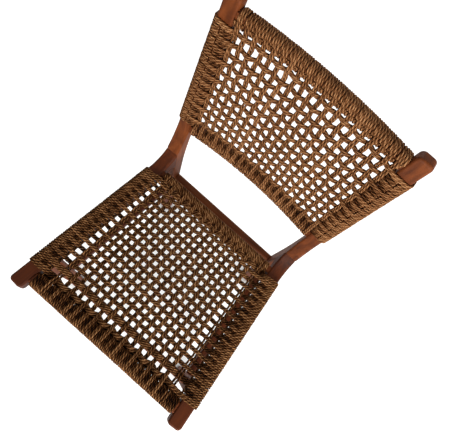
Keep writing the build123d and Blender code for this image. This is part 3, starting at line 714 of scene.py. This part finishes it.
for label, (front, back, height), taken in (("front", FRONT_RAIL, front_places),
                                            ("rear", REAR_RAIL, rear_places)):
    reach = rail_inner(back) - (FRONT_WRAP_END if label == "front" else WRAP_END) - ROPE / 2
    places = plain_turns(taken, -reach, reach, TURN_SPACING)
    runs = turns(places, back - front, height, lambda along, y, z: (
        on_seat(along, (front + back) / 2 + y, z - height / 2), (1.0, 0.0, 0.0)),
        FRONT_DENT if label == "front" else REAR_DENT)
    wound = rope_mesh(f"seat_{label}_winding", runs, SEAT_THICKNESS, seat_rope)
    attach(wound, "root")
    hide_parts(f"seat_{label}_wrap")

# ---- The weave of the back ----------------------------------------------------------------------
# Pairs of ropes run up from the low bowed rail to the top one, and pairs from stile to stile
# cross them. They are pulled less evenly than the seat's, so the holes differ more.
RECLINE = math.radians(12)
BACK_FOOT = (POST_FRONT + 0.0336, 0.5748)
POST_WIDTH, STILE_DEPTH = 0.032, 0.024
INNER_HALF_WIDTH = REAR_HALF_WIDTH - POST_WIDTH
BACK_BOW = 0.015
BACK_RAIL_DEPTH = 0.021
TOP_RAIL = (0.2770, 0.0220)       # up the stiles, height
LOW_RAIL = (-0.0184, 0.0210)
BOW_RADIUS = (INNER_HALF_WIDTH ** 2 + BACK_BOW ** 2) / (2 * BACK_BOW)
BACK_WARPS, BACK_WEFTS = 18, 12   # pairs up, but for the two at the stiles, and across
BACK_WARP_GAP = 0.0262
BACK_WEFT_PITCH, BACK_WEFT_START = 0.02127, 0.0291
BACK_LEVEL = 0.002                # middle of the weave behind the rails' fronts
BACK_EDGE_GAP = 0.0105            # stiles to the pairs that lie beside their wraps
BACK_TOP_SHIFT = 0.002            # the last row lies this much nearer the top rail
BACK_PAIR_SPREAD = 0.94           # distance of a pair's ropes, in ropes
BACK_THICKNESS = ROPE * 1.1       # thickness over the plies' crowns
STILE_MARGIN = 0.004              # from a stile to where a row starts to wave
BACK_DIP, STILE_DIP = 0.016, 0.008      # lengths over which rows sink from rails and stiles
BACK_WANDER = (0.0013, 0.06)      # a pair, sideways
BACK_STRAY, BACK_HEAVE = (0.0004, 0.03), (0.0003, 0.02)     # each rope, sideways and in depth
# painted shade on a back rope where it dives behind a crossing row
BACK_UNDER_SHADE = 0.4
back_warp_x = np.linspace(-1, 1, BACK_WARPS) * (INNER_HALF_WIDTH - BACK_WARP_GAP)
back_warp_x = np.concatenate([[BACK_EDGE_GAP - INNER_HALF_WIDTH], back_warp_x,
                              [INNER_HALF_WIDTH - BACK_EDGE_GAP]])
back_weft_z = BACK_WEFT_START + BACK_WEFT_PITCH * np.arange(BACK_WEFTS)
back_weft_z[-1] += BACK_TOP_SHIFT


def on_back(x, y, z):
    """Points of the back: x across, y behind the stiles' fronts, z up the stiles."""
    x, y, z = np.broadcast_arrays(x, y, z)
    return np.stack([x, BACK_FOOT[0] + y * math.cos(RECLINE) + z * math.sin(RECLINE),
                     BACK_FOOT[1] - y * math.sin(RECLINE) + z * math.cos(RECLINE)], axis=-1)


def bow(x):
    """How far behind the stiles the bowed rails' front faces are: a circle through both."""
    x = np.clip(x, -INNER_HALF_WIDTH, INNER_HALF_WIDTH)
    return np.sqrt(BOW_RADIUS ** 2 - x ** 2) - (BOW_RADIUS - BACK_BOW)


def back_warps():
    """Each warp rope: round the low rail, up through the weave, round the top rail."""
    runs, low_places, top_places = [], [], []
    low, high = LOW_RAIL[0] + LOW_RAIL[1], TOP_RAIL[0]
    z = np.linspace(low - OVER_RAIL, high + OVER_RAIL, 240)
    low_z, low_y = round_bar(LOW_RAIL[1], BACK_RAIL_DEPTH, HIDDEN_START,
                             over_top(LOW_RAIL[1], BACK_RAIL_DEPTH))
    top_z, top_y = round_bar(TOP_RAIL[1], BACK_RAIL_DEPTH, HIDDEN_START,
                             over_top(TOP_RAIL[1], BACK_RAIL_DEPTH))
    low_z, top_z = LOW_RAIL[0] + LOW_RAIL[1] / 2 - low_z, TOP_RAIL[0] + TOP_RAIL[1] / 2 + top_z
    low_y, top_y = BACK_RAIL_DEPTH / 2 - low_y, BACK_RAIL_DEPTH / 2 - top_y
    for index, place in enumerate(back_warp_x):
        over = np.array([(-1.0) ** (index + row) for row in range(BACK_WEFTS)])
        wave = weave_level(z, back_weft_z, over * CREST)
        free = freed(np.minimum(z - low - FIELD_MARGIN, high - FIELD_MARGIN - z))
        level = -dip(z, low, high, -BACK_LEVEL, BACK_DIP)
        wander = free * drift(z, *BACK_WANDER)
        for beside in (-0.5, 0.5):
            x = place + beside * ROPE * BACK_PAIR_SPREAD + wander + free * drift(z, *BACK_STRAY)
            y = bow(x) + level + free * wave + free * drift(z, *BACK_HEAVE)
            way = np.concatenate([on_back(x[0], bow(x[0]) + low_y, low_z), on_back(x, y, z),
                                  on_back(x[-1], bow(x[-1]) + top_y, top_z)[::-1]])
            # painted shade where the rope dives behind a crossing row
            dark = BACK_UNDER_SHADE * free * np.clip(wave / CREST, 0, 1)
            dark = np.concatenate([np.zeros(len(low_z)), dark, np.zeros(len(top_z))])
            runs.append((way, dark, (1.0, 0.0, 0.0)))
            low_places.append(x[0])
            top_places.append(x[-1])
    return runs, np.array(low_places), np.array(top_places)


def back_wefts():
    """Each weft rope: round the right stile, through the weave, round the left one."""
    runs, stile_places = [], []
    turn_x, turn_y = round_bar(POST_WIDTH, STILE_DEPTH, HIDDEN_START,
                               over_top(POST_WIDTH, STILE_DEPTH))
    turn_x = turn_x + INNER_HALF_WIDTH + POST_WIDTH / 2
    turn_y = STILE_DEPTH / 2 - turn_y
    x = np.linspace(-INNER_HALF_WIDTH - OVER_RAIL, INNER_HALF_WIDTH + OVER_RAIL, 240)
    for row, place in enumerate(back_weft_z):
        over = -np.array([(-1.0) ** (index + row) for index in range(len(back_warp_x))])
        wave = weave_level(x, back_warp_x, over * CREST)
        free = freed(INNER_HALF_WIDTH - STILE_MARGIN - np.abs(x))
        level = -dip(x, -INNER_HALF_WIDTH, INNER_HALF_WIDTH, -BACK_LEVEL, STILE_DIP)
        wander = free * drift(x, *BACK_WANDER)
        for beside in (-0.5, 0.5):
            z = place + beside * ROPE * BACK_PAIR_SPREAD + wander + free * drift(x, *BACK_STRAY)
            y = bow(x) + level + free * wave + free * drift(x, *BACK_HEAVE)
            way = np.concatenate([on_back(-turn_x, turn_y, z[0]), on_back(x, y, z),
                                  on_back(turn_x, turn_y, z[-1])[::-1]])
            # painted shade where the rope dives behind a crossing row
            dark = BACK_UNDER_SHADE * free * np.clip(wave / CREST, 0, 1)
            dark = np.concatenate([np.zeros(len(turn_x)), dark, np.zeros(len(turn_x))])
            runs.append((way, dark, (0.0, math.sin(RECLINE), math.cos(RECLINE))))
            stile_places.append(place + beside * ROPE * BACK_PAIR_SPREAD)
    return runs, np.array(stile_places)


warps, low_places, top_places = back_warps()
wefts, stile_places = back_wefts()
for label, runs in (("warp", warps), ("weft", wefts)):
    rows = rope_mesh(f"back_{label}_ropes", runs, BACK_THICKNESS, back_rope)
    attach(rows, "root")
    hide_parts(f"back_{label}")

# ---- The turns round the back's stiles and rails ------------------------------------------------
# The same rope wound close round the stiles and the two bowed rails, between the pairs that leave
# them for the weave. The posts' tips and the stretch below the weave stay bare.
STILE_WRAP = (0.0040, 0.2705)     # lowest and highest edge, up the stiles
STILE_TURNS = 4.4                 # turns' spacing goes this often into the rows'
STILE_DENT = ((0.004 - POST_WIDTH / 2, -0.0146), (0.0035, 0.005))
BACK_RAIL_DENT = ((0.0125, -0.0085), (0.004, 0.003))
TOP_BARE, LOW_BARE = 0.0008, 0.0025     # bare rail between the turns and the stiles
stile_turns = plain_turns(stile_places, STILE_WRAP[0] + ROPE / 2, STILE_WRAP[1] - ROPE / 2,
                          BACK_WEFT_PITCH / STILE_TURNS)
for side, label in ((1, "left"), (-1, "right")):
    runs = turns(stile_turns, POST_WIDTH, STILE_DEPTH, lambda along, x, y: (
        on_back(side * (INNER_HALF_WIDTH + POST_WIDTH / 2 + x), STILE_DEPTH / 2 + y, along),
        (0.0, math.sin(RECLINE), math.cos(RECLINE))), STILE_DENT)
    wound = rope_mesh(f"back_{label}_winding", runs, BACK_THICKNESS, back_rope)
    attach(wound, "root")
    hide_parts(f"back_side_wrap_{label}")

for label, (start, height), taken, bare in (("top", TOP_RAIL, top_places, TOP_BARE),
                                            ("low", LOW_RAIL, low_places, LOW_BARE)):
    reach = INNER_HALF_WIDTH - ROPE / 2 - bare
    places = plain_turns(taken, -reach, reach, TURN_SPACING)
    inward = 1 if label == "low" else -1
    runs = turns(places, height, BACK_RAIL_DEPTH, lambda along, z, y: (
        on_back(along, bow(along) + BACK_RAIL_DEPTH / 2 + y, start + height / 2 + inward * z),
        (1.0, 0.0, 0.0)), BACK_RAIL_DENT)
    wound = rope_mesh(f"back_{label}_winding", runs, BACK_THICKNESS, back_rope)
    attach(wound, "root")
    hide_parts(f"back_{label}_wrap")
